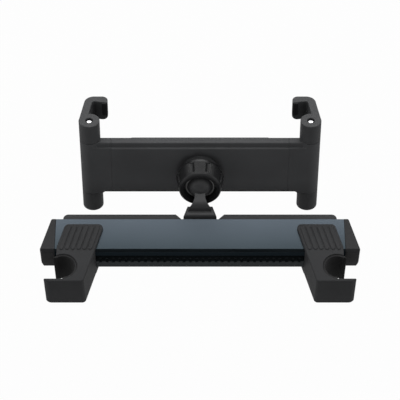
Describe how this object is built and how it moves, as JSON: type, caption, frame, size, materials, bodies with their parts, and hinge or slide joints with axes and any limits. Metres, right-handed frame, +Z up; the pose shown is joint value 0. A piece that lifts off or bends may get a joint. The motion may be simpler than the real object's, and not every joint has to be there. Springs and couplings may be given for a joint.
{
  "type": "headrest tablet mount",
  "caption": "Slotted rail with sliding hooks for headrest posts and a ball arm that carries a spring-closed tablet holder with folding claws.",
  "frame": {"origin": "midway between the axes of the two headrest posts, level with the underside of the hooks", "axes": "+X along the rail, +Y from the posts towards the tablet holder, +Z up along the posts"},
  "size_m": [0.198, 0.1174, 0.0757],
  "materials": {
    "black_plastic": "satin moulded, fine texture",
    "blue_plate": "blue-grey anodised, satin",
    "grey_track": "satin, dark blue-grey",
    "black_casting": "satin black",
    "acetal": "smooth, slippery",
    "rubber": "matt",
    "bright_steel": "polished",
    "plated_screw": "dark plated",
    "spring_steel": "bright wire and strip"
  },
  "bodies": {
    "base": {"track": "grey_track", "top_plate": "blue_plate", "end_cap_left": "black_plastic", "end_cap_right": "black_plastic", "rear_cover": "black_plastic", "ball_arm": "black_casting", "foot_screws": "plated_screw"},
    "hook_left": {"hook_left": "black_plastic", "post_liner_left": "rubber", "detent_spring_left": "spring_steel"},
    "hook_right": {"hook_right": "black_plastic", "post_liner_right": "rubber", "detent_spring_right": "spring_steel"},
    "cup": {"friction_cup": "acetal"},
    "ring": {"clamp_ring": "acetal"},
    "holder": {"back_shell": "black_plastic", "front_shell": "black_plastic", "front_pad": "rubber", "ball_socket": "black_plastic", "housing_screws": "plated_screw", "arm_spring_left": "spring_steel", "arm_spring_right": "spring_steel"},
    "nut": {"lock_nut": "black_plastic"},
    "arm_left": {"arm_left": "black_plastic", "hinge_pin_left": "bright_steel"},
    "arm_right": {"arm_right": "black_plastic", "hinge_pin_right": "bright_steel"},
    "claw_left_upper": {"claw_left_upper": "black_plastic", "claw_pad_left_upper": "rubber"},
    "claw_left_lower": {"claw_left_lower": "black_plastic", "claw_pad_left_lower": "rubber"},
    "claw_right_upper": {"claw_right_upper": "black_plastic", "claw_pad_right_upper": "rubber"},
    "claw_right_lower": {"claw_right_lower": "black_plastic", "claw_pad_right_lower": "rubber"}
  },
  "joints": [
    {"name": "pan", "type": "hinge", "parent": "base", "child": "cup", "pos_m": [0, 0.057, 0.03295], "axis": [0, 0, 1], "range_deg": [-15, 15]},
    {"name": "tilt", "type": "hinge", "parent": "cup", "child": "ring", "pos_m": [0, 0.057, 0.03295], "axis": [1, 0, 0], "range_deg": [-3, 40]},
    {"name": "roll", "type": "hinge", "parent": "ring", "child": "holder", "pos_m": [0, 0.057, 0.03295], "axis": [0, 0.9744, -0.225], "continuous": true},
    {"name": "nut_twist", "type": "hinge", "parent": "holder", "child": "nut", "pos_m": [0, 0.057, 0.03295], "axis": [0, 0.9744, -0.225], "range_deg": [0, 120]},
    {"name": "arm_left_slide", "type": "slide", "parent": "holder", "child": "arm_left", "axis": [-1, 0, 0], "range_m": [0, 0.04], "stiffness_N_per_m": 200, "springref_m": -0.03, "deforming": ["arm_spring_left"]},
    {"name": "arm_right_slide", "type": "slide", "parent": "holder", "child": "arm_right", "axis": [1, 0, 0], "range_m": [0, 0.04], "stiffness_N_per_m": 200, "springref_m": -0.03, "deforming": ["arm_spring_right"]},
    {"name": "claw_left_upper_fold", "type": "hinge", "parent": "arm_left", "child": "claw_left_upper", "pos_m": [-0.069, 0.07571, 0.02863], "axis": [0, -0.225, -0.9744], "range_deg": [0, 90]},
    {"name": "claw_left_lower_fold", "type": "hinge", "parent": "arm_left", "child": "claw_left_lower", "pos_m": [-0.069, 0.07571, 0.02863], "axis": [0, -0.225, -0.9744], "range_deg": [0, 90]},
    {"name": "claw_right_upper_fold", "type": "hinge", "parent": "arm_right", "child": "claw_right_upper", "pos_m": [0.069, 0.07571, 0.02863], "axis": [0, 0.225, 0.9744], "range_deg": [0, 90]},
    {"name": "claw_right_lower_fold", "type": "hinge", "parent": "arm_right", "child": "claw_right_lower", "pos_m": [0.069, 0.07571, 0.02863], "axis": [0, 0.225, 0.9744], "range_deg": [0, 90]},
    {"name": "hook_left_slide", "type": "slide", "parent": "base", "child": "hook_left", "axis": [1, 0, 0], "range_m": [0, 0.024], "deforming": ["detent_spring_left"]},
    {"name": "hook_right_slide", "type": "slide", "parent": "base", "child": "hook_right", "axis": [-1, 0, 0], "range_m": [0, 0.024], "deforming": ["detent_spring_right"]}
  ]
}
